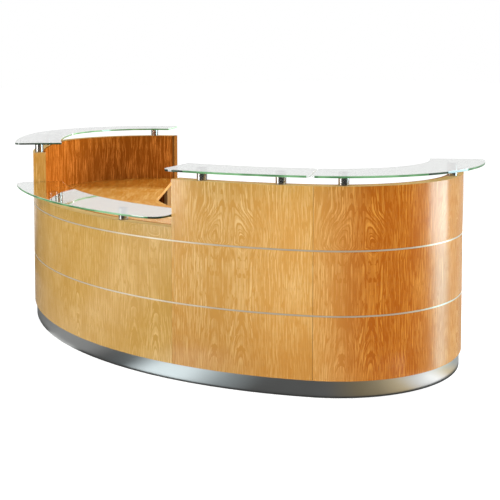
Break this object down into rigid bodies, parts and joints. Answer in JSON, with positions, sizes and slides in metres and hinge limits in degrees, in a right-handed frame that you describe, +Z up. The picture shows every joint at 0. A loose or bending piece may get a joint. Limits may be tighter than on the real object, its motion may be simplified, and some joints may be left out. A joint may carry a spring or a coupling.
{
  "type": "reception desk",
  "caption": "Curved C-shaped oak reception desk with high wings, a low middle counter, glass shelves on steel stand-offs, inner worktops, inlaid trims and a steel plinth.",
  "frame": {"origin": "on the floor, under the middle of the desk outline", "axes": "+Z up, -Y towards the visitors in front of the low counter, +X to the right wing seen from the visitors"},
  "size_m": [3.7254, 1.8622, 1.142],
  "materials": {
    "oak_veneer": "satin lacquered oak veneer, vertical grain",
    "oak_lipping": "satin lacquered solid oak",
    "oak_worktop": "satin lacquered oak veneer",
    "frame_timber": "sawn softwood",
    "plinth_steel": "brushed along the run",
    "standoff_steel": "polished",
    "trim_aluminium": "satin anodised",
    "shelf_glass": "clear float glass, polished edges",
    "foot_zinc": "zinc plated"
  },
  "bodies": {
    "desk": {"low_fascia": "oak_veneer", "low_lining": "oak_veneer", "low_frame": "frame_timber", "low_capping": "oak_lipping", "low_glass": "shelf_glass", "low_standoff_1": "standoff_steel", "low_standoff_2": "standoff_steel", "right_side_fascia": "oak_veneer", "right_side_lining": "oak_veneer", "right_side_frame": "frame_timber", "right_side_capping": "oak_lipping", "right_side_glass": "shelf_glass", "right_side_standoff_1": "standoff_steel", "right_side_standoff_2": "standoff_steel", "right_end_fascia": "oak_veneer", "right_end_lining": "oak_veneer", "right_end_frame": "frame_timber", "right_end_capping": "oak_lipping", "right_end_glass": "shelf_glass", "right_end_standoff_1": "standoff_steel", "right_end_standoff_2": "standoff_steel", "left_side_fascia": "oak_veneer", "left_side_lining": "oak_veneer", "left_side_frame": "frame_timber", "left_side_capping": "oak_lipping", "left_side_glass": "shelf_glass", "left_side_standoff_1": "standoff_steel", "left_side_standoff_2": "standoff_steel", "left_end_fascia": "oak_veneer", "left_end_lining": "oak_veneer", "left_end_frame": "frame_timber", "left_end_capping": "oak_lipping", "left_end_glass": "shelf_glass", "left_end_standoff_1": "standoff_steel", "left_end_standoff_2": "standoff_steel", "low_plinth": "plinth_steel", "low_lower_trim": "trim_aluminium", "low_upper_trim": "trim_aluminium", "low_worktop": "oak_worktop", "right_plinth": "plinth_steel", "right_lower_trim": "trim_aluminium", "right_upper_trim": "trim_aluminium", "right_worktop": "oak_worktop", "left_plinth": "plinth_steel", "left_lower_trim": "trim_aluminium", "left_upper_trim": "trim_aluminium", "left_worktop": "oak_worktop", "right_joint_gable": "oak_worktop", "right_chord_gable": "oak_worktop", "left_joint_gable": "oak_worktop", "left_chord_gable": "oak_worktop"},
    "low_foot_1": {"low_foot_1": "foot_zinc"},
    "low_foot_2": {"low_foot_2": "foot_zinc"},
    "right_side_foot": {"right_side_foot": "foot_zinc"},
    "right_end_foot_1": {"right_end_foot_1": "foot_zinc"},
    "right_end_foot_2": {"right_end_foot_2": "foot_zinc"},
    "left_side_foot": {"left_side_foot": "foot_zinc"},
    "left_end_foot_1": {"left_end_foot_1": "foot_zinc"},
    "left_end_foot_2": {"left_end_foot_2": "foot_zinc"}
  },
  "joints": [
    {"name": "low_foot_1_travel", "type": "slide", "parent": "desk", "child": "low_foot_1", "axis": [0, 0, 1], "range_m": [-0.015, 0]},
    {"name": "low_foot_2_travel", "type": "slide", "parent": "desk", "child": "low_foot_2", "axis": [0, 0, 1], "range_m": [-0.015, 0]},
    {"name": "right_side_foot_travel", "type": "slide", "parent": "desk", "child": "right_side_foot", "axis": [0, 0, 1], "range_m": [-0.015, 0]},
    {"name": "right_end_foot_1_travel", "type": "slide", "parent": "desk", "child": "right_end_foot_1", "axis": [0, 0, 1], "range_m": [-0.015, 0]},
    {"name": "right_end_foot_2_travel", "type": "slide", "parent": "desk", "child": "right_end_foot_2", "axis": [0, 0, 1], "range_m": [-0.015, 0]},
    {"name": "left_side_foot_travel", "type": "slide", "parent": "desk", "child": "left_side_foot", "axis": [0, 0, 1], "range_m": [-0.015, 0]},
    {"name": "left_end_foot_1_travel", "type": "slide", "parent": "desk", "child": "left_end_foot_1", "axis": [0, 0, 1], "range_m": [-0.015, 0]},
    {"name": "left_end_foot_2_travel", "type": "slide", "parent": "desk", "child": "left_end_foot_2", "axis": [0, 0, 1], "range_m": [-0.015, 0]}
  ]
}
